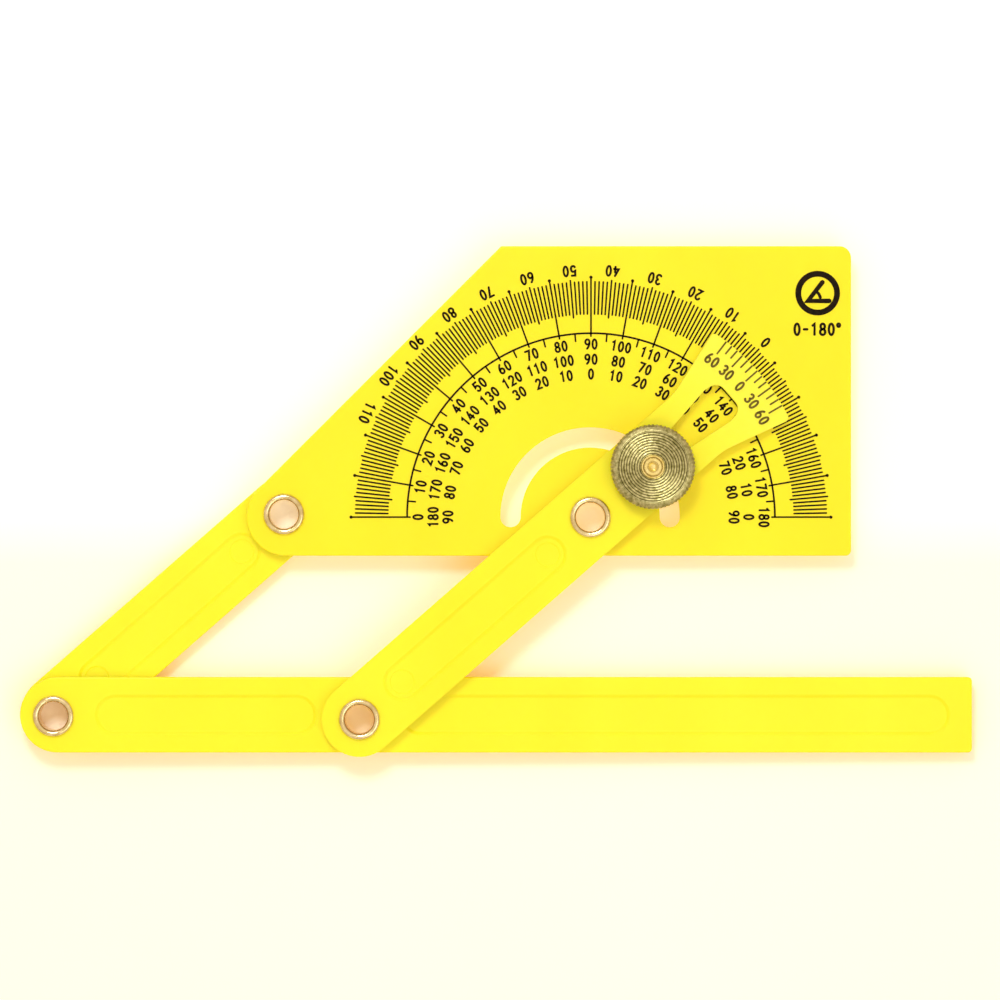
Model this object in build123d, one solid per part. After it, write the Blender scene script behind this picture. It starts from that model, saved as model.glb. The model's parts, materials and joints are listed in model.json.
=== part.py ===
from build123d import *
from math import cos, radians, sin
import os

# Angle-finder protractor: a scale plate, a pointer arm, a link and a long base arm, hinged on four
# hollow eyelets as a parallel linkage, and locked by a knurled thumb nut on a bolt in an arc slot.
# Units are millimetres. The origin is on the pointer's axis, at the plate's back face.
# +X runs along the plate's lower edge, +Y across the plate, +Z out of its printed face.

# Linkage
SIDE = 78.8  # pivot to pivot, the same on all four sides
POINTER_ANGLE = 41.2  # of the pointer's axis from +X, as stored
LINE_SLOPE = 0.52  # of the line through the plate's two pivots, below +X

# Layers
SHEET = 3.2  # thickness of the plate and of each arm
LAYER_GAP = 0.15
PLATE_BACK = 0.0
PLATE_TOP = PLATE_BACK + SHEET
LINK_TOP = PLATE_BACK - LAYER_GAP
LINK_BACK = LINK_TOP - SHEET
POINTER_BACK = PLATE_TOP + LAYER_GAP
POINTER_TOP = POINTER_BACK + SHEET
EDGE_ROUND = 0.35  # softened upper edges of the mouldings

# Scale plate
PLATE_RIGHT = 67.1
PLATE_UPPER = 69.7
PLATE_LOWER = -9.95
SLOPE_RISE = 92.6  # height of the 45 degree edge where it crosses x = 0
SLOPE_CORNER = 10.0
UPPER_CORNER = 3.0
LOWER_CORNER = 1.4
SLOT_RADIUS = 20.5
SLOT_WIDTH = 5.2

# Arms
ARM_HALF = 9.65
LINK_HALF = 9.55
LINK_TRIM = 1.3  # the link's lower end stops short, so that the base arm covers it
BASE_HALF = 9.7
BASE_LEFT = -146.7
BASE_RIGHT = 98.2
BASE_MIDDLE = -50.87  # height of the base arm's centre line
BASE_CORNER = 1.0
POCKET_DEPTH = 0.45
POCKET_TAPER = 60
ARM_POCKET_LENGTH = 49.6  # between the centres of the pocket's two round ends
ARM_POCKET_HALF = 4.9
FIRST_POCKET = (-127.4, -70.4)
SECOND_POCKET = (-48.9, 92.5)
BASE_POCKET_HALF = 5.2
EJECTOR_RADIUS = 3.2
EJECTOR_DEPTH = 0.15

# Vernier head of the pointer
HEAD_START = 37.0
HEAD_RADIUS = 57.1
HEAD_HALF_ANGLE = 15.2
HEAD_CORNER = 1.2
HEAD_NECK = 16.0  # radius where the arm's side turns out into the head
BEVEL_START = 49.0
BEVEL_DROP = 1.9
WINDOW_INNER = 29.4
WINDOW_OUTER = 47.5
WINDOW_HALF_INNER = 3.3
WINDOW_HALF_OUTER = 5.2
WINDOW_SHOULDER = 43.4
WINDOW_END_HALF = 4.6
WINDOW_CORNER = 2.7

# Eyelets and their washers
EYELET_BORE = 3.7
EYELET_SHANK = 4.2
EYELET_FLANGE = 5.3
EYELET_RISE = 1.0
CLINCH_RADIUS = 4.95
CLINCH_DROP = 0.9
EYELET_HOLE = EYELET_SHANK + 0.05
OPEN_PIVOT_HOLE = EYELET_SHANK + 0.35
FLANGE_GAP = 0.05
WASHER = 0.5
WASHER_RADIUS = 6.0

# Clamp bolt, washers and thumb nut
BOLT_ANGLE = 2.2  # the bolt stands this far below the pointer's centre line, about the pivot
BOLT_RADIUS = 2.45
BOLT_HOLE = 2.6
BOLT_HEAD_RADIUS = 4.6
BOLT_HEAD = 2.0
BOLT_WASHER = 0.6
BOLT_WASHER_RADIUS = 5.6
BOLT_WASHER_HOLE = BOLT_RADIUS + 0.05
DRIVER_SLOT = (1.1, 0.8)
NUT_WASHER_RADIUS = 6.6
NUT_BOSS_RADIUS = 7.2
NUT_BOSS = 1.0
NUT_RADIUS = 10.9
NUT_DISC = 4.4
NUT_BEVEL = 1.2
BOLT_PROUD = 0.35
DIMPLE_RADIUS = 1.5
DIMPLE_DEPTH = 0.7
DIMPLE_TAPER = 50


def polar(length, degrees):
    return (length * cos(radians(degrees)), length * sin(radians(degrees)))


PIVOT_B = (0.0, 0.0)
PIVOT_A = polar(SIDE, 180 - LINE_SLOPE)
PIVOT_C = polar(SIDE, POINTER_ANGLE + 180)
PIVOT_D = (PIVOT_A[0] + PIVOT_C[0], PIVOT_A[1] + PIVOT_C[1])
BOLT_AT = polar(SLOT_RADIUS, POINTER_ANGLE - BOLT_ANGLE)


def tube(outer, inner, low, high, at=(0, 0)):
    """A ring with its axis along Z."""
    ring = Circle(outer) - Circle(inner)
    return Pos(at[0], at[1], low) * extrude(ring, high - low)


def rod(radius, low, high, at=(0, 0)):
    return Pos(at[0], at[1], low) * extrude(Circle(radius), high - low)


def stadium(start, end, half):
    """A flat strip along X from one round end's tip to the other's."""
    return Pos((start + end) / 2, 0) * SlotOverall(end - start, 2 * half)


def pocket(start, end, half, top):
    """A shallow recess with sloping sides, sunk into a face at height top."""
    return Pos(0, 0, top) * extrude(stadium(start, end, half), -POCKET_DEPTH, taper=POCKET_TAPER)


def soften(solid, top):
    """Round the upper outline of a moulding."""
    face = solid.faces().sort_by(Axis.Z)[-1]
    return fillet(face.outer_wire().edges(), EDGE_ROUND)


def arm_pockets(arm, top):
    """The recess between the pivots of an arm that runs from 0 to -SIDE, with its two ejector marks."""
    middle = -SIDE / 2
    reach = ARM_POCKET_LENGTH / 2
    tip = reach + ARM_POCKET_HALF
    arm -= pocket(middle - tip, middle + tip, ARM_POCKET_HALF, top)
    for side in (-1, 1):
        mark = extrude(Circle(EJECTOR_RADIUS), -EJECTOR_DEPTH, taper=POCKET_TAPER)
        arm -= Pos(middle + side * reach, 0, top - POCKET_DEPTH) * mark
    return arm


def protractor_plate():
    outline = Polyline(
        (PLATE_LOWER - SLOPE_RISE, PLATE_LOWER),
        (PLATE_RIGHT, PLATE_LOWER),
        (PLATE_RIGHT, PLATE_UPPER),
        (PLATE_UPPER - SLOPE_RISE, PLATE_UPPER),
        close=True,
    )
    plate = extrude(make_face(outline), SHEET)
    corners = plate.edges().filter_by(Axis.Z).sort_by(Axis.X)
    lower_left, upper_left = corners[0], corners[1]
    lower_right, upper_right = corners[2:].sort_by(Axis.Y)
    plate = fillet(lower_left, SLOPE_CORNER)
    for corner, radius in ((upper_left, 0.5), (lower_right, LOWER_CORNER), (upper_right, UPPER_CORNER)):
        middle = corner.center()
        edge = plate.edges().filter_by(Axis.Z).sort_by_distance(middle)[0]
        plate = fillet(edge, radius)
    plate = soften(plate, PLATE_TOP)
    slot = CenterArc(PIVOT_B, SLOT_RADIUS, 0, 180)
    plate -= extrude(SlotArc(slot, SLOT_WIDTH), SHEET)
    for pivot in (PIVOT_A, PIVOT_B):
        plate -= rod(EYELET_HOLE, PLATE_BACK, PLATE_TOP, pivot)
    return plate


def base_arm():
    round_end = Pos(BASE_LEFT + BASE_HALF, 0) * Circle(BASE_HALF)
    straight = BASE_RIGHT - BASE_LEFT - BASE_HALF
    bar = Pos(BASE_RIGHT - straight / 2, 0) * Rectangle(straight, 2 * BASE_HALF)
    arm = extrude(round_end + bar, SHEET)
    arm = fillet(arm.edges().filter_by(Axis.Z).group_by(Axis.X)[-1], BASE_CORNER)
    arm = soften(arm, PLATE_TOP)
    for start, end in (FIRST_POCKET, SECOND_POCKET):
        arm -= pocket(start, end, BASE_POCKET_HALF, SHEET)
    arm = Pos(0, BASE_MIDDLE, 0) * arm
    for pivot in (PIVOT_C, PIVOT_D):
        arm -= rod(EYELET_HOLE, PLATE_BACK, PLATE_TOP, pivot)
    return arm


def link_arm():
    arm = extrude(stadium(LINK_TRIM - SIDE - LINK_HALF, LINK_HALF, LINK_HALF), SHEET)
    arm = soften(arm, SHEET)
    arm = arm_pockets(arm, SHEET)
    arm -= rod(EYELET_HOLE, 0, SHEET)
    arm -= rod(OPEN_PIVOT_HOLE, 0, SHEET, (-SIDE, 0))
    return Pos(PIVOT_A[0], PIVOT_A[1], LINK_BACK) * Rot(0, 0, POINTER_ANGLE) * arm


def head_outline():
    """The flared head, from the arm's width out to an arc about the pivot."""
    tip_x, tip_y = polar(HEAD_RADIUS, HEAD_HALF_ANGLE)
    upper = Line((HEAD_START, ARM_HALF), (tip_x, tip_y))
    lower = Line((HEAD_START, -ARM_HALF), (tip_x, -tip_y))
    rim = ThreePointArc((tip_x, tip_y), (HEAD_RADIUS, 0), (tip_x, -tip_y))
    back = Line((HEAD_START, ARM_HALF), (HEAD_START, -ARM_HALF))
    return make_face(Curve() + [upper, rim, lower, back])


def window():
    """The sight window through the head, widest towards the vernier."""
    shape = Polyline(
        (WINDOW_INNER, WINDOW_HALF_INNER),
        (WINDOW_SHOULDER, WINDOW_HALF_OUTER),
        (WINDOW_OUTER, WINDOW_END_HALF),
        (WINDOW_OUTER, -WINDOW_END_HALF),
        (WINDOW_SHOULDER, -WINDOW_HALF_OUTER),
        (WINDOW_INNER, -WINDOW_HALF_INNER),
        close=True,
    )
    face = make_face(shape)
    outer = face.vertices().sort_by(Axis.X)[-2:]
    face = fillet(outer, WINDOW_CORNER)
    shoulders = face.vertices().sort_by(Axis.X)[2:4]
    return fillet(shoulders, WINDOW_CORNER)


def pointer_arm():
    outline = stadium(-SIDE - ARM_HALF, 2 * ARM_HALF, ARM_HALF)
    outline += Pos(HEAD_START / 2, 0) * Rectangle(HEAD_START, 2 * ARM_HALF)
    outline += head_outline()
    arm = extrude(outline, SHEET)
    corners = arm.edges().filter_by(Axis.Z).sort_by(Axis.X)
    arm = fillet(corners[-2:], HEAD_CORNER)
    necks = [edge for edge in arm.edges().filter_by(Axis.Z) if abs(edge.center().X - HEAD_START) < 0.01]
    arm = fillet(necks, HEAD_NECK)
    wedge = Polyline(
        (BEVEL_START, SHEET),
        (HEAD_RADIUS + 1, SHEET - BEVEL_DROP),
        (HEAD_RADIUS + 1, SHEET + 1),
        (BEVEL_START, SHEET + 1),
        close=True,
    )
    ahead = Pos(HEAD_RADIUS, 0, SHEET / 2) * Box(2 * HEAD_RADIUS, 2 * HEAD_RADIUS, 4 * SHEET)
    arm -= revolve(Plane.XZ * make_face(wedge), Axis.Z) & ahead
    arm -= extrude(window(), SHEET)
    arm = arm_pockets(arm, SHEET)
    for pivot in ((0, 0), (-SIDE, 0)):
        arm -= rod(EYELET_HOLE, 0, SHEET, pivot)
    arm -= rod(BOLT_HOLE, 0, SHEET, polar(SLOT_RADIUS, -BOLT_ANGLE))
    return Pos(0, 0, POINTER_BACK) * Rot(0, 0, POINTER_ANGLE) * arm


def eyelet(pivot, seat, back):
    """A hollow rivet: rolled flange above seat, clinched over its washer below back."""
    crown = seat + EYELET_RISE
    tail = back - CLINCH_DROP
    middle = (EYELET_BORE + EYELET_FLANGE) / 2
    half = (EYELET_FLANGE - EYELET_BORE) / 2
    lip = (EYELET_BORE + CLINCH_RADIUS) / 2
    profile = Curve() + [
        Line((EYELET_BORE, tail), (EYELET_BORE, crown - half)),
        ThreePointArc((EYELET_BORE, crown - half), (middle, crown), (EYELET_FLANGE, crown - half)),
        Line((EYELET_FLANGE, crown - half), (EYELET_FLANGE, seat)),
        Line((EYELET_FLANGE, seat), (EYELET_SHANK, seat)),
        Line((EYELET_SHANK, seat), (EYELET_SHANK, back)),
        Line((EYELET_SHANK, back), (CLINCH_RADIUS, back)),
        Line((CLINCH_RADIUS, back), (lip, tail)),
        Line((lip, tail), (EYELET_BORE, tail)),
    ]
    ring = revolve(Plane.XZ * make_face(profile), Axis.Z)
    return Pos(pivot[0], pivot[1], 0) * ring


def clamp_bolt(head_top, tip):
    head = rod(BOLT_HEAD_RADIUS, head_top - BOLT_HEAD, head_top)
    head = chamfer(head.edges().group_by(Axis.Z)[0], 0.5)
    width, depth = DRIVER_SLOT
    head -= Pos(0, 0, head_top - BOLT_HEAD + depth / 2) * Box(3 * BOLT_HEAD_RADIUS, width, depth)
    shank = rod(BOLT_RADIUS, head_top, tip)
    shank = chamfer(shank.edges().group_by(Axis.Z)[-1], 0.3)
    shank -= Pos(0, 0, tip) * extrude(Circle(DIMPLE_RADIUS), -DIMPLE_DEPTH, taper=DIMPLE_TAPER)
    return Pos(BOLT_AT[0], BOLT_AT[1], 0) * (head + shank)


def thumb_nut(seat):
    boss = rod(NUT_BOSS_RADIUS, seat, seat + NUT_BOSS)
    disc = rod(NUT_RADIUS, seat + NUT_BOSS, seat + NUT_BOSS + NUT_DISC)
    disc = chamfer(disc.edges().group_by(Axis.Z)[-1], 0.5, NUT_BEVEL)
    disc = chamfer(disc.edges().group_by(Axis.Z)[0], 0.5)
    nut = boss + disc
    nut -= rod(BOLT_WASHER_HOLE, seat, seat + NUT_BOSS + NUT_DISC)
    return Pos(BOLT_AT[0], BOLT_AT[1], 0) * nut


def all_parts():
    running = FLANGE_GAP
    eyelets = {
        "link_eyelet": (PIVOT_A, PLATE_TOP, LINK_BACK - running),
        "centre_eyelet": (PIVOT_B, POINTER_TOP + running, PLATE_BACK),
        "pointer_eyelet": (PIVOT_C, POINTER_TOP + running, PLATE_BACK),
        "end_eyelet": (PIVOT_D, PLATE_TOP, LINK_BACK - 2 * running),
    }
    parts = {
        "protractor_plate": protractor_plate(),
        "base_arm": base_arm(),
        "link_arm": link_arm(),
        "pointer_arm": pointer_arm(),
    }
    for name, (pivot, seat, washer_top) in eyelets.items():
        parts[name] = eyelet(pivot, seat, washer_top - WASHER)
        washer = tube(WASHER_RADIUS, EYELET_HOLE, washer_top - WASHER, washer_top, pivot)
        parts[name.replace("eyelet", "rear_washer")] = washer
    slider_top = PLATE_BACK - running
    slider_back = slider_top - BOLT_WASHER
    nut_seat = POINTER_TOP + BOLT_WASHER
    nut_top = nut_seat + NUT_BOSS + NUT_DISC
    parts["bolt_washer"] = tube(BOLT_WASHER_RADIUS, BOLT_WASHER_HOLE, slider_back, slider_top, BOLT_AT)
    parts["clamp_bolt"] = clamp_bolt(slider_back, nut_top + BOLT_PROUD)
    parts["nut_washer"] = tube(NUT_WASHER_RADIUS, BOLT_WASHER_HOLE, POINTER_TOP, nut_seat, BOLT_AT)
    parts["thumb_nut"] = thumb_nut(nut_seat)
    return parts


os.makedirs("parts", exist_ok=True)
for node, shape in all_parts().items():
    export_step(Compound(shape.solids()), f"parts/{node}.step")
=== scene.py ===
import json
import math

import bmesh
import bpy
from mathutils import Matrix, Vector


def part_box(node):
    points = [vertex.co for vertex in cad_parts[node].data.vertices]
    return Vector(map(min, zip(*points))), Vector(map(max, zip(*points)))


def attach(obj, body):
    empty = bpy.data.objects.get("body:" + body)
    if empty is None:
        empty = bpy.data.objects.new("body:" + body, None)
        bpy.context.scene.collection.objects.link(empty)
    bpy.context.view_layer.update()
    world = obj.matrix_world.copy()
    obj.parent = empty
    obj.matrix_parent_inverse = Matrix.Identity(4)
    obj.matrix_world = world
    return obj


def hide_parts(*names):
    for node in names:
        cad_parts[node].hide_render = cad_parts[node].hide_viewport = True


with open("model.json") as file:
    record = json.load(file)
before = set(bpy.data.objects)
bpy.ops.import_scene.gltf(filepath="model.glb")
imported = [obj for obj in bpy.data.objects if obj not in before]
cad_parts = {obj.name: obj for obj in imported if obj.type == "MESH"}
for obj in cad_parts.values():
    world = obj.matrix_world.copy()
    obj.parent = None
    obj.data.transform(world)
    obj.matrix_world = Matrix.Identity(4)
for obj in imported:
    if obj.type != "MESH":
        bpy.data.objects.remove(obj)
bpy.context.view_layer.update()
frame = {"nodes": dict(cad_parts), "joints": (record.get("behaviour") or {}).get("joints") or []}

# Looks for an angle-finder protractor. Lengths are millimetres in this script and metres in the scene.
MM = 0.001

# Where things are, from the frame
joints = {joint["name"]: joint for joint in frame["joints"]}
PLATE_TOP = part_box("protractor_plate")[1][2] / MM
POINTER_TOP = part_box("pointer_arm")[1][2] / MM
low_nut, high_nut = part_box("thumb_nut")
knuckle = joints["base_pivot"]["pos_m"]
POINTER_ANGLE = math.degrees(math.atan2(-knuckle[1], -knuckle[0]))

# Printed scales: radii from the print's own centre, which is just off the centre eyelet's axis
PRINT_SHIFT = 0.2  # of the print's centre along +X
LINE_HALF = 0.215
ARC_HALF = 0.24
INK_SUNK = 0.02
INK_PROUD = 0.025
SCALE_ARC = 47.3
DEGREE_TICK = (52.2, 60.6)
FIVE_TICK = (51.4, 61.1)
TEN_TICK = (46.5, 61.4)
INNER_FIVE_TICK = (45.3, 47.3)
DOT_RADIUS = 0.42
DOT_PLACE = 61.7
INNER_ROWS = (44.5, 40.6, 36.8)  # radius of each row of figures
INNER_FIGURE = 2.6
OUTER_ROW = 63.5
OUTER_FIGURE = 2.7
OUTER_ZERO = 45

# Vernier: thirteen marks over eleven degrees each side
VERNIER_STEP = 11 / 6
VERNIER_LONG = (53.1, 56.9)
VERNIER_SHORT = (54.5, 56.9)
VERNIER_ROW = 51.0
VERNIER_FIGURE = 2.75
BEVEL_START = 49.0
BEVEL_END = 58.1
BEVEL_DROP = 1.9

# Plain mark at the plate's upper corner
MARK_CENTRE = (58.5, 57.6)
MARK_RADIUS = 5.0
MARK_RING_HALF = 0.75
MARK_CORNER = (-2.5, -2.0)  # of the angle, from the ring's centre
MARK_LEVEL_TIP = (3.1, -2.0)
MARK_RAISED_TIP = (1.3, 2.9)
MARK_LEG_HALF = 0.6
MARK_ARC_RADIUS = 3.3
MARK_ARC_TURN = (14, 40)
MARK_ARC_HALF = 0.4
MARK_TEXT_PLACE = (0.2, -9.3)
MARK_TEXT_HEIGHT = 3.1

# Thumb nut
NUT_BORE = 2.5
NUT_LIP = 2.95  # outer radius of the bright lip round the bore
LIP_RISE = 0.08
BOSS_RADIUS = 7.2
BOSS_HEIGHT = 1.0
BOSS_EDGE = 0.3
UNDERCUT = 0.7  # the flat underside stops this far inside the knurl
KNURL_FOOT = ((0.1, 1.5, 0.2), (0.0, 1.7, 1.0))  # inset, height and share of the tooth depth
RIM_SLOPE = ((0.0, 0.95, 1.0), (0.15, 0.75, 0.75), (0.7, 0.35, 0.3), (1.4, 0.04, 0.0))  # inset, drop, share
NUT_TEETH = 64
NUT_STEPS = 4
TOOTH_DEPTH = 0.28
TOOTH_WAVE = (0.0, 0.35, 1.0, 0.35)
FACE_START = 3.15
FACE_EDGE = 9.2
FACE_SUNK = 0.22  # the turned face lies below the rim
FACE_INSET = 0.08  # of the first ring from the face's edge
NUT_RINGS = 9
RING_POINTS = 6
RING_DEPTH = 0.09
PLAIN, BRIGHT, SHADED_GROOVE = range(3)  # finishes of the nut; the groove one is painted shade, dark brass in the rings' grooves and at the face's edge


# ---------------------------------------------------------------- materials


def node_material(name):
    material = bpy.data.materials.new(name)
    material.use_nodes = True
    tree = material.node_tree
    return material, tree, tree.nodes["Principled BSDF"]


def object_noise(tree, scale, detail=3.0, stretch=(1, 1, 1)):
    place = tree.nodes.new("ShaderNodeTexCoord")
    mapping = tree.nodes.new("ShaderNodeMapping")
    mapping.inputs["Scale"].default_value = stretch
    noise = tree.nodes.new("ShaderNodeTexNoise")
    noise.inputs["Scale"].default_value = scale
    noise.inputs["Detail"].default_value = detail
    tree.links.new(place.outputs["Object"], mapping.inputs["Vector"])
    tree.links.new(mapping.outputs["Vector"], noise.inputs["Vector"])
    return noise.outputs["Fac"]


def ramp(tree, factor, stops):
    node = tree.nodes.new("ShaderNodeValToRGB")
    elements = node.color_ramp.elements
    while len(elements) < len(stops):
        elements.new(0.5)
    for element, (place, colour) in zip(elements, stops):
        element.position = place
        element.color = (*colour, 1)
    tree.links.new(factor, node.inputs["Fac"])
    return node.outputs["Color"]


def span(tree, factor, low, high):
    node = tree.nodes.new("ShaderNodeMapRange")
    node.inputs["To Min"].default_value = low
    node.inputs["To Max"].default_value = high
    tree.links.new(factor, node.inputs["Value"])
    return node.outputs["Result"]


def add_bump(tree, shader, height, distance, strength):
    node = tree.nodes.new("ShaderNodeBump")
    node.inputs["Distance"].default_value = distance
    node.inputs["Strength"].default_value = strength
    tree.links.new(height, node.inputs["Height"])
    tree.links.new(node.outputs["Normal"], shader.inputs["Normal"])


DRIFT_SCALE = 38.0
DRIFT_STRETCH = (1, 0.45, 1)
SHEEN_SCALE = 420.0
SATIN_SCALE = 1500.0
SATIN_DEPTH = 0.00002
SCATTER_RADIUS = (1.0, 0.75, 0.08)  # red and green light travel furthest in the yellow plastic
SCATTER_SCALE = 0.0022
GLOSS = (0.26, 0.44)  # roughness, from the glossiest patch to the dullest


def plastic(name, deep, pale):
    """Glossy moulded plastic with slow colour drift, uneven gloss and a faint satin texture."""
    material, tree, shader = node_material(name)
    drift = object_noise(tree, DRIFT_SCALE, 2.0, DRIFT_STRETCH)
    colour = ramp(tree, drift, ((0.3, deep), (0.7, pale)))
    tree.links.new(colour, shader.inputs["Base Color"])
    rough = span(tree, object_noise(tree, SHEEN_SCALE, 4.0), *GLOSS)
    tree.links.new(rough, shader.inputs["Roughness"])
    add_bump(tree, shader, object_noise(tree, SATIN_SCALE, 2.0), SATIN_DEPTH, 0.25)
    shader.inputs["IOR"].default_value = 1.46
    shader.inputs["Subsurface Weight"].default_value = 0.35
    shader.inputs["Subsurface Radius"].default_value = SCATTER_RADIUS
    shader.inputs["Subsurface Scale"].default_value = SCATTER_SCALE
    return material, tree, colour, shader


HEAD_BLEND = (26.0, 50.0)  # distances from the pivot between which the arm grows pale, painted light for light shining through the thin head
MIX_FIRST, MIX_SECOND, MIX_RESULT = 6, 7, 2  # the mix node's colour sockets


def pointer_plastic():
    """The arm's plastic, paler towards the thin vernier head: painted light that stands in for light
    passing through the thin plastic.
    """
    material, tree, colour, shader = plastic("pointer_plastic", ARM_DEEP, ARM_PALE)
    place = tree.nodes.new("ShaderNodeTexCoord")
    turn = tree.nodes.new("ShaderNodeMapping")
    turn.inputs["Rotation"].default_value = (0, 0, -math.radians(POINTER_ANGLE))
    split = tree.nodes.new("ShaderNodeSeparateXYZ")
    tree.links.new(place.outputs["Object"], turn.inputs["Vector"])
    tree.links.new(turn.outputs["Vector"], split.inputs["Vector"])
    along = tree.nodes.new("ShaderNodeMapRange")
    along.inputs["From Min"].default_value = HEAD_BLEND[0] * MM
    along.inputs["From Max"].default_value = HEAD_BLEND[1] * MM
    tree.links.new(split.outputs["X"], along.inputs["Value"])
    mix = tree.nodes.new("ShaderNodeMix")
    mix.data_type = "RGBA"
    tree.links.new(along.outputs["Result"], mix.inputs["Factor"])
    tree.links.new(colour, mix.inputs[MIX_FIRST])
    mix.inputs[MIX_SECOND].default_value = (*HEAD_PAINTED_LIGHT, 1)
    tree.links.new(mix.outputs[MIX_RESULT], shader.inputs["Base Color"])
    return material


PIT_DEPTH = 0.00006


def metal(name, deep, pale, rough, grain=900.0, pits=0.3):
    """Brass with patches of tarnish and fine pits."""
    material, tree, shader = node_material(name)
    colour = ramp(tree, object_noise(tree, grain * 0.6, 5.0), ((0.32, deep), (0.68, pale)))
    tree.links.new(colour, shader.inputs["Base Color"])
    wear = span(tree, object_noise(tree, grain, 4.0), *rough)
    tree.links.new(wear, shader.inputs["Roughness"])
    add_bump(tree, shader, object_noise(tree, grain * 2.0), PIT_DEPTH, pits)
    shader.inputs["Metallic"].default_value = 1.0
    return material


def ink(name, deep, pale):
    """Matt printing ink, a little uneven in tone."""
    material, tree, shader = node_material(name)
    colour = ramp(tree, object_noise(tree, 900.0, 4.0), ((0.35, deep), (0.8, pale)))
    tree.links.new(colour, shader.inputs["Base Color"])
    tree.links.new(span(tree, object_noise(tree, 1400.0), 0.6, 0.85), shader.inputs["Roughness"])
    shader.inputs["Specular IOR Level"].default_value = 0.12
    return material


PLATE_DEEP = (0.93, 0.81, 0.003)
PLATE_PALE = (0.95, 0.86, 0.006)
ARM_DEEP = (0.94, 0.87, 0.007)
ARM_PALE = (0.96, 0.92, 0.014)
# painted light: the paler colour of the vernier head, for light passing through it
HEAD_PAINTED_LIGHT = (0.96, 0.92, 0.055)

plate_plastic = plastic("plate_plastic", PLATE_DEEP, PLATE_PALE)[0]
arm_plastic = plastic("arm_plastic", ARM_DEEP, ARM_PALE)[0]
vernier_plastic = pointer_plastic()
eyelet_brass = metal("eyelet_brass", (0.72, 0.55, 0.24), (0.95, 0.81, 0.48), (0.14, 0.28))
bolt_brass = metal("bolt_brass", (0.82, 0.64, 0.18), (0.97, 0.83, 0.38), (0.2, 0.36))
nut_brass = metal("nut_brass", (0.25, 0.23, 0.07), (0.66, 0.60, 0.29), (0.22, 0.42), 2000.0, pits=0.4)
# painted shade: near-black brass laid in the face's grooves so that the turned rings show
groove_painted_shade = metal("groove_painted_shade", (0.05, 0.042, 0.015), (0.15, 0.13, 0.05), (0.3, 0.5), 2000.0)
plate_ink = ink("plate_ink", (0.006, 0.003, 0.001), (0.022, 0.013, 0.003))
vernier_ink = ink("vernier_ink", (0.10, 0.075, 0.012), (0.2, 0.15, 0.03))


def dress(node, material):
    """Give a CAD node its finish."""
    for entry in frame["nodes"][node].material_slots:
        entry.material = material


dress("protractor_plate", plate_plastic)
dress("pointer_arm", vernier_plastic)
for node in ("base_arm", "link_arm"):
    dress(node, arm_plastic)
for pivot in ("link", "centre", "pointer", "end"):
    dress(f"{pivot}_eyelet", eyelet_brass)
    dress(f"{pivot}_rear_washer", eyelet_brass)
for node in ("bolt_washer", "clamp_bolt", "nut_washer"):
    dress(node, bolt_brass)


# ---------------------------------------------------------------- printed ink


def arc(cx, cy, rx, ry, start, end, steps=10):
    """Points along part of an ellipse, from one angle to the other."""
    turns = [math.radians(start + (end - start) * i / steps) for i in range(steps + 1)]
    return [(cx + rx * math.cos(t), cy + ry * math.sin(t)) for t in turns]


def loop(cx, cy, rx, ry, steps=20):
    return arc(cx, cy, rx, ry, 0, 360, steps)[:-1]


FIGURE_WIDTH = 0.52  # of the figure's height, like the strokes' places below
FIGURE_PITCH = 0.71
FIGURE_STROKE = 0.102  # half the stroke's width


def turned(strokes):
    """Strokes of a figure turned half round within its cell."""
    return [([(FIGURE_WIDTH - x, 1 - y) for x, y in points], closed) for points, closed in strokes]


SIX = [
    (loop(0.26, 0.29, 0.205, 0.25), True),
    (arc(0.62, 0.30, 0.565, 0.80, 124, 178, 8), False),
]
FIGURES = {
    "0": [(loop(0.26, 0.5, 0.20, 0.46, 24), True)],
    "1": [([(0.12, 0.80), (0.29, 0.95), (0.29, 0.04)], False)],
    "2": [(arc(0.26, 0.71, 0.20, 0.25, 165, -38) + [(0.05, 0.04), (0.48, 0.04)], False)],
    "3": [(arc(0.25, 0.73, 0.19, 0.23, 150, -70) + arc(0.25, 0.275, 0.215, 0.235, 70, -150), False)],
    "4": [([(0.35, 0.96), (0.04, 0.28), (0.50, 0.28)], False), ([(0.36, 0.62), (0.36, 0.04)], False)],
    "5": [([(0.45, 0.96), (0.10, 0.96), (0.07, 0.52)] + arc(0.25, 0.32, 0.21, 0.28, 125, -150), False)],
    "6": SIX,
    "7": [([(0.04, 0.96), (0.47, 0.96), (0.19, 0.04)], False)],
    "8": [(loop(0.26, 0.735, 0.175, 0.225), True), (loop(0.26, 0.275, 0.21, 0.235), True)],
    "9": turned(SIX),
    "-": [([(0.10, 0.5), (0.42, 0.5)], False)],
    "o": [(loop(0.16, 0.84, 0.11, 0.13, 14), True)],
}


END_REACH = 0.7  # a stroke's end runs on by this share of its half width
END_NARROW = 0.5
MITRE_FLOOR = 0.5  # keeps sharp corners within twice the half width


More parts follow.
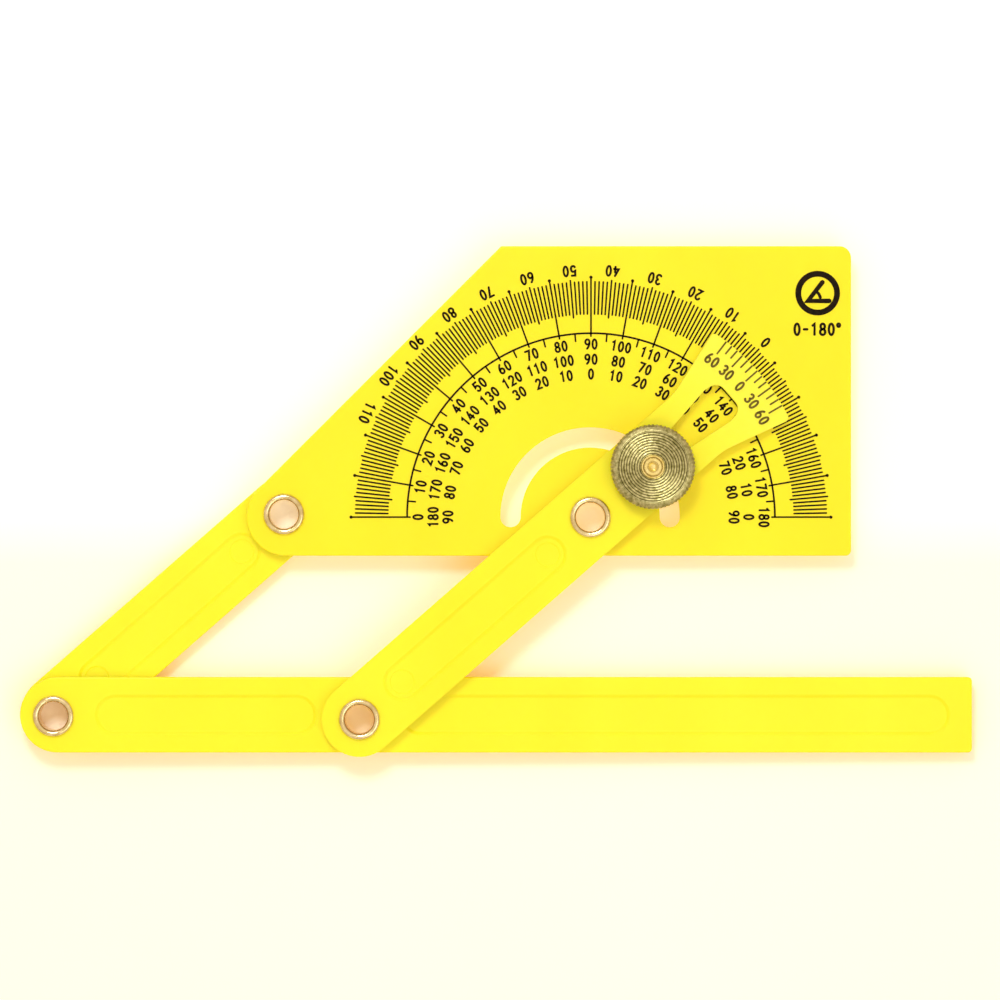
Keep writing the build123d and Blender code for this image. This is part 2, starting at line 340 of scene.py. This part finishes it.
class Print:
    """Thin closed ribbons and dots of ink on one surface, gathered into one mesh."""

    def __init__(self, surface):
        self.surface = surface
        self.points = []
        self.faces = []

    def station(self, x, y):
        height = self.surface(x, y)
        first = len(self.points)
        self.points.append((x, y, height - INK_SUNK))
        self.points.append((x, y, height + INK_PROUD))
        return first

    def ribbon(self, path, half, closed=False):
        """A stroke along a path. Open strokes end in a short taper."""
        path = [Vector(point) for point in path]
        widths = [half] * len(path)
        if not closed:
            for end, inner in ((0, 1), (-1, -2)):
                out = (path[end] - path[inner]).normalized() * half * END_REACH
                path.insert(0 if end == 0 else len(path), path[end] + out)
                widths.insert(0 if end == 0 else len(widths), half * END_NARROW)
        rows = []
        count = len(path)
        for i, point in enumerate(path):
            before = path[i - 1] if closed or i else point
            after = path[(i + 1) % count] if closed or i < count - 1 else point
            come = (point - before).normalized() if point != before else None
            go = (after - point).normalized() if after != point else None
            come, go = come or go, go or come
            along = (come + go).normalized()
            side = Vector((-along.y, along.x))
            square = Vector((-come.y, come.x))
            reach = widths[i] / max(MITRE_FLOOR, side.dot(square))
            left = self.station(*(point + side * reach))
            right = self.station(*(point - side * reach))
            rows.append((left, left + 1, right + 1, right))
        pairs = zip(rows, rows[1:] + rows[:1]) if closed else zip(rows, rows[1:])
        for one, two in pairs:
            for k in range(4):
                self.faces.append((one[k], one[(k + 1) % 4], two[(k + 1) % 4], two[k]))
        if not closed:
            self.faces.append(rows[0][::-1])
            self.faces.append(rows[-1])

    def dot(self, x, y, radius, sides=12):
        ring = [self.station(*point) for point in loop(x, y, radius, radius, sides)]
        self.faces.append([first + 1 for first in ring])
        self.faces.append(ring[::-1])
        for one, two in zip(ring, ring[1:] + ring[:1]):
            self.faces.append((one, two, two + 1, one + 1))

    def tick(self, degrees, ends, half):
        turn = math.radians(degrees)
        self.ribbon([(r * math.cos(turn), r * math.sin(turn)) for r in ends], half)

    def text(self, words, centre, up, height):
        """Figures centred on a point, with their tops towards up."""
        up = Vector(up).normalized()
        right = Vector((up.y, -up.x))
        width = (len(words) - 1) * FIGURE_PITCH + FIGURE_WIDTH
        corner = Vector(centre) - right * width * height / 2 - up * height / 2
        for i, letter in enumerate(words):
            for stroke, closed in FIGURES[letter]:
                offsets = [right * (x + i * FIGURE_PITCH) + up * y for x, y in stroke]
                path = [corner + offset * height for offset in offsets]
                self.ribbon(path, FIGURE_STROKE * height, closed)

    def label(self, words, radius, degrees, height, outward=True):
        turn = math.radians(degrees)
        way = Vector((math.cos(turn), math.sin(turn)))
        self.text(words, way * radius, way if outward else -way, height)

    def finish(self, name, body, material, shift=0.0):
        mesh = bpy.data.meshes.new(name)
        mesh.from_pydata([((x + shift) * MM, y * MM, z * MM) for x, y, z in self.points], [], self.faces)
        mesh.materials.append(material)
        mesh.validate()
        piece = bpy.data.objects.new(name, mesh)
        bpy.context.scene.collection.objects.link(piece)
        outward_normals(mesh)
        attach(piece, body)


def outward_normals(mesh):
    work = bmesh.new()
    work.from_mesh(mesh)
    bmesh.ops.recalc_face_normals(work, faces=work.faces)
    work.to_mesh(mesh)
    work.free()


def plate_surface(x, y):
    return PLATE_TOP


def vernier_surface(x, y):
    """The head's upper face, which slopes down towards its rim."""
    beyond = max(0.0, math.hypot(x, y) - BEVEL_START)
    return POINTER_TOP - BEVEL_DROP * beyond / (BEVEL_END - BEVEL_START)


def print_degree_scale():
    lines = Print(plate_surface)
    lines.ribbon(arc(0, 0, SCALE_ARC, SCALE_ARC, 0, 180, 90), ARC_HALF)
    for degree in range(181):
        if degree % 10 == 0:
            ends = TEN_TICK
            turn = math.radians(degree)
            lines.dot(DOT_PLACE * math.cos(turn), DOT_PLACE * math.sin(turn), DOT_RADIUS)
        elif degree % 5 == 0:
            ends = FIVE_TICK
            lines.tick(degree, INNER_FIVE_TICK, LINE_HALF)
        else:
            ends = DEGREE_TICK
        lines.tick(degree, ends, LINE_HALF)
    lines.finish("degree_scale", "plate", plate_ink, PRINT_SHIFT)


def print_degree_figures():
    figures = Print(plate_surface)
    for degree in range(0, 181, 10):
        rows = (180 - degree, degree, abs(90 - degree))
        for value, radius in zip(rows, INNER_ROWS):
            figures.label(str(value), radius, degree, INNER_FIGURE)
    for value in range(0, 111, 10):
        figures.label(str(value), OUTER_ROW, OUTER_ZERO + value, OUTER_FIGURE, outward=False)
    figures.finish("degree_figures", "plate", plate_ink, PRINT_SHIFT)


def print_vernier():
    lines = Print(vernier_surface)
    figures = Print(vernier_surface)
    for step in range(-6, 7):
        degree = POINTER_ANGLE - step * VERNIER_STEP
        if step % 3 == 0:
            lines.tick(degree, VERNIER_LONG, LINE_HALF)
            figures.label(str(abs(step) * 10), VERNIER_ROW, degree, VERNIER_FIGURE)
        else:
            lines.tick(degree, VERNIER_SHORT, LINE_HALF)
    lines.finish("vernier_scale", "pointer", vernier_ink)
    figures.finish("vernier_figures", "pointer", vernier_ink)


def print_mark():
    """A plain pictogram of an angle in a ring, over the tool's range in figures."""
    mark = Print(plate_surface)
    centre = Vector(MARK_CENTRE)
    mark.ribbon(loop(*centre, MARK_RADIUS, MARK_RADIUS, 40), MARK_RING_HALF, closed=True)
    corner = centre + Vector(MARK_CORNER)
    legs = (centre + Vector(MARK_LEVEL_TIP), corner, centre + Vector(MARK_RAISED_TIP))
    mark.ribbon(legs, MARK_LEG_HALF)
    sweep = arc(*corner, MARK_ARC_RADIUS, MARK_ARC_RADIUS, *MARK_ARC_TURN, 8)
    mark.ribbon(sweep, MARK_ARC_HALF)
    mark.text("0-180o", centre + Vector(MARK_TEXT_PLACE), (0, 1), MARK_TEXT_HEIGHT)
    mark.finish("angle_mark", "plate", plate_ink)


print_degree_scale()
print_degree_figures()
print_vernier()
print_mark()


# ---------------------------------------------------------------- thumb nut


def nut_profile():
    """Rows of (radius, height, tooth share, finish) under the nut, over its rim and back to the bore."""
    top = (high_nut[2] - low_nut[2]) / MM
    rim = (high_nut[0] - low_nut[0]) / MM / 2
    foot = [(NUT_BORE, 0), (BOSS_RADIUS - BOSS_EDGE, 0), (BOSS_RADIUS, BOSS_EDGE)]
    foot += [(BOSS_RADIUS, BOSS_HEIGHT), (rim - UNDERCUT, BOSS_HEIGHT)]
    rows = [(radius, height, 0, PLAIN) for radius, height in foot]
    rows += [(rim - inset, height, share, PLAIN) for inset, height, share in KNURL_FOOT]
    rows += [(rim - inset, top - drop, share, PLAIN) for inset, drop, share in RIM_SLOPE]
    # painted shade: a dark ring where the rim steps down to the face
    rows.append((FACE_EDGE, top, 0, SHADED_GROOVE))
    face = top - FACE_SUNK - RING_DEPTH / 2
    pitch = (FACE_EDGE - FACE_START) / NUT_RINGS
    for ring in range(NUT_RINGS):
        for step in range(RING_POINTS):
            radius = FACE_EDGE - FACE_INSET - (ring + step / RING_POINTS) * pitch
            swell = math.cos(2 * math.pi * step / RING_POINTS) * RING_DEPTH / 2
            # the lowest faces of each ring carry the painted shade
            low = step in (RING_POINTS // 2 - 1, RING_POINTS // 2)
            rows.append((radius, face + swell, 0, SHADED_GROOVE if low else PLAIN))
    crown = face + LIP_RISE
    rows.append((NUT_LIP + LIP_RISE, face - LIP_RISE, 0, PLAIN))
    lip = [(NUT_LIP, face), (NUT_LIP - LIP_RISE, crown), (NUT_BORE + LIP_RISE, crown)]
    rows += [(radius, height, 0, BRIGHT) for radius, height in lip]
    rows.append((NUT_BORE, face, 0, PLAIN))
    return rows


def thumb_nut():
    middle_x, middle_y = (low_nut[0] + high_nut[0]) / 2, (low_nut[1] + high_nut[1]) / 2
    rows = nut_profile()
    steps = NUT_TEETH * NUT_STEPS
    points = []
    faces = []
    finishes = []
    for row, (radius, height, share, finish) in enumerate(rows):
        lower = row * steps
        upper = (row + 1) % len(rows) * steps
        for i in range(steps):
            turn = 2 * math.pi * i / steps
            reach = (radius - TOOTH_DEPTH * share * TOOTH_WAVE[i % NUT_STEPS]) * MM
            x, y = middle_x + reach * math.cos(turn), middle_y + reach * math.sin(turn)
            points.append((x, y, low_nut[2] + height * MM))
            j = (i + 1) % steps
            faces.append((lower + i, lower + j, upper + j, upper + i))
            finishes.append(finish)
    mesh = bpy.data.meshes.new("knurled_nut")
    mesh.from_pydata(points, [], faces)
    for material in (nut_brass, bolt_brass, groove_painted_shade):
        mesh.materials.append(material)
    mesh.polygons.foreach_set("material_index", finishes)
    outward_normals(mesh)
    piece = bpy.data.objects.new("knurled_nut", mesh)
    bpy.context.scene.collection.objects.link(piece)
    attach(piece, "nut")
    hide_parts("thumb_nut")


thumb_nut()


# ---------------------------------------------------------------- floor, light and camera

FLOOR_SIZE = 3.0
FLOOR_GAP = 0.00005
PAPER_DEEP = (0.965, 0.96, 0.90)
PAPER_PALE = (0.98, 0.975, 0.93)
PAINTED_GLOW_NEAR = (0.24, 0.09, 0.02)  # painted light: a warm glow emitted by the floor that stands in for bounce light in the shadows, around the arms
PAINTED_GLOW_FAR = (0.38, 0.27, 0.17)  # and a brighter painted glow under the plate, which lightens the slot and the centre bores
PAINTED_GLOW_EDGE = (-12.0, 0.0)  # in Y: the painted glow changes from near to far between these
FLOOR_LEAN = (0.012, -0.025)  # rise of the floor along +X and +Y: the tool lies on its rear eyelets
low_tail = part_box("end_eyelet")[0]


def floor():
    material, tree, shader = node_material("paper")
    tone = ramp(tree, object_noise(tree, 5.0), ((0.3, PAPER_DEEP), (0.7, PAPER_PALE)))
    tree.links.new(tone, shader.inputs["Base Color"])
    split = tree.nodes.new("ShaderNodeSeparateXYZ")
    tree.links.new(tree.nodes.new("ShaderNodeTexCoord").outputs["Object"], split.inputs["Vector"])
    across = tree.nodes.new("ShaderNodeMapRange")
    across.inputs["From Min"].default_value = PAINTED_GLOW_EDGE[0] * MM
    across.inputs["From Max"].default_value = PAINTED_GLOW_EDGE[1] * MM
    tree.links.new(split.outputs["Y"], across.inputs["Value"])
    # The floor's emission is painted light: a glowing floor that lightens its shadows, warm around the arms
    # and brighter under the plate.
    painted_glow = ramp(tree, across.outputs["Result"], ((0.0, PAINTED_GLOW_NEAR), (1.0, PAINTED_GLOW_FAR)))
    tree.links.new(painted_glow, shader.inputs["Emission Color"])
    shader.inputs["Roughness"].default_value = 0.8
    shader.inputs["Specular IOR Level"].default_value = 0.1
    shader.inputs["Emission Strength"].default_value = 1.0
    half = FLOOR_SIZE / 2
    corners = [(-half, -half), (half, -half), (half, half), (-half, half)]
    base = low_tail[2] - FLOOR_GAP
    lean_x, lean_y = FLOOR_LEAN
    points = [(x, y, base + (x - low_tail[0]) * lean_x + (y - low_tail[1]) * lean_y) for x, y in corners]
    mesh = bpy.data.meshes.new("paper_floor")
    mesh.from_pydata(points, [], [(0, 1, 2, 3)])
    mesh.materials.append(material)
    ground = bpy.data.objects.new("paper_floor", mesh)
    bpy.context.scene.collection.objects.link(ground)


KEY_PLACE = (-0.22, 0.62, 1.15)
KEY_SIZE = 0.30
KEY_POWER = 5.4
FILL_PLACE = (0.5, -0.5, 1.2)
FILL_SIZE = 0.9
FILL_POWER = 3.2
FILL_COLOUR = (1.0, 0.97, 0.9)
LIGHT_AIM = (-0.02, 0, 0)
WORLD_STRENGTH = 0.89
HORIZON = (0.50, 0.38, 0.24)
ZENITH = (1.0, 0.86, 0.70)


def area_light(name, place, size, power, colour=(1, 1, 1)):
    data = bpy.data.lights.new(name, "AREA")
    data.energy = power
    data.size = size
    data.color = colour
    lamp = bpy.data.objects.new(name, data)
    lamp.location = place
    aim = Vector(LIGHT_AIM) - Vector(place)
    lamp.rotation_euler = aim.to_track_quat("-Z", "Y").to_euler()
    bpy.context.scene.collection.objects.link(lamp)


def studio():
    world = bpy.data.worlds.new("studio")
    world.use_nodes = True
    tree = world.node_tree
    place = tree.nodes.new("ShaderNodeTexCoord")
    split = tree.nodes.new("ShaderNodeSeparateXYZ")
    tree.links.new(place.outputs["Generated"], split.inputs["Vector"])
    sky = ramp(tree, split.outputs["Z"], ((0.0, HORIZON), (0.7, ZENITH)))
    tree.links.new(sky, tree.nodes["Background"].inputs["Color"])
    tree.nodes["Background"].inputs["Strength"].default_value = WORLD_STRENGTH
    bpy.context.scene.world = world
    area_light("key", KEY_PLACE, KEY_SIZE, KEY_POWER)
    area_light("fill", FILL_PLACE, FILL_SIZE, FILL_POWER, FILL_COLOUR)


CAMERA_DISTANCE = 1.6
VIEW_WIDTH = 0.2572
SENSOR = 36.0
VIEW_CENTRE = (-0.0232, 0.0044)
FAR_LIMIT = 10.0


def camera():
    data = bpy.data.cameras.new("camera")
    data.sensor_width = SENSOR
    data.lens = SENSOR * CAMERA_DISTANCE / VIEW_WIDTH
    data.clip_end = FAR_LIMIT
    eye = bpy.data.objects.new("camera", data)
    eye.location = (VIEW_CENTRE[0], VIEW_CENTRE[1], PLATE_TOP * MM + CAMERA_DISTANCE)
    bpy.context.scene.collection.objects.link(eye)
    bpy.context.scene.camera = eye


floor()
studio()
camera()
bpy.context.scene.view_settings.view_transform = "Standard"
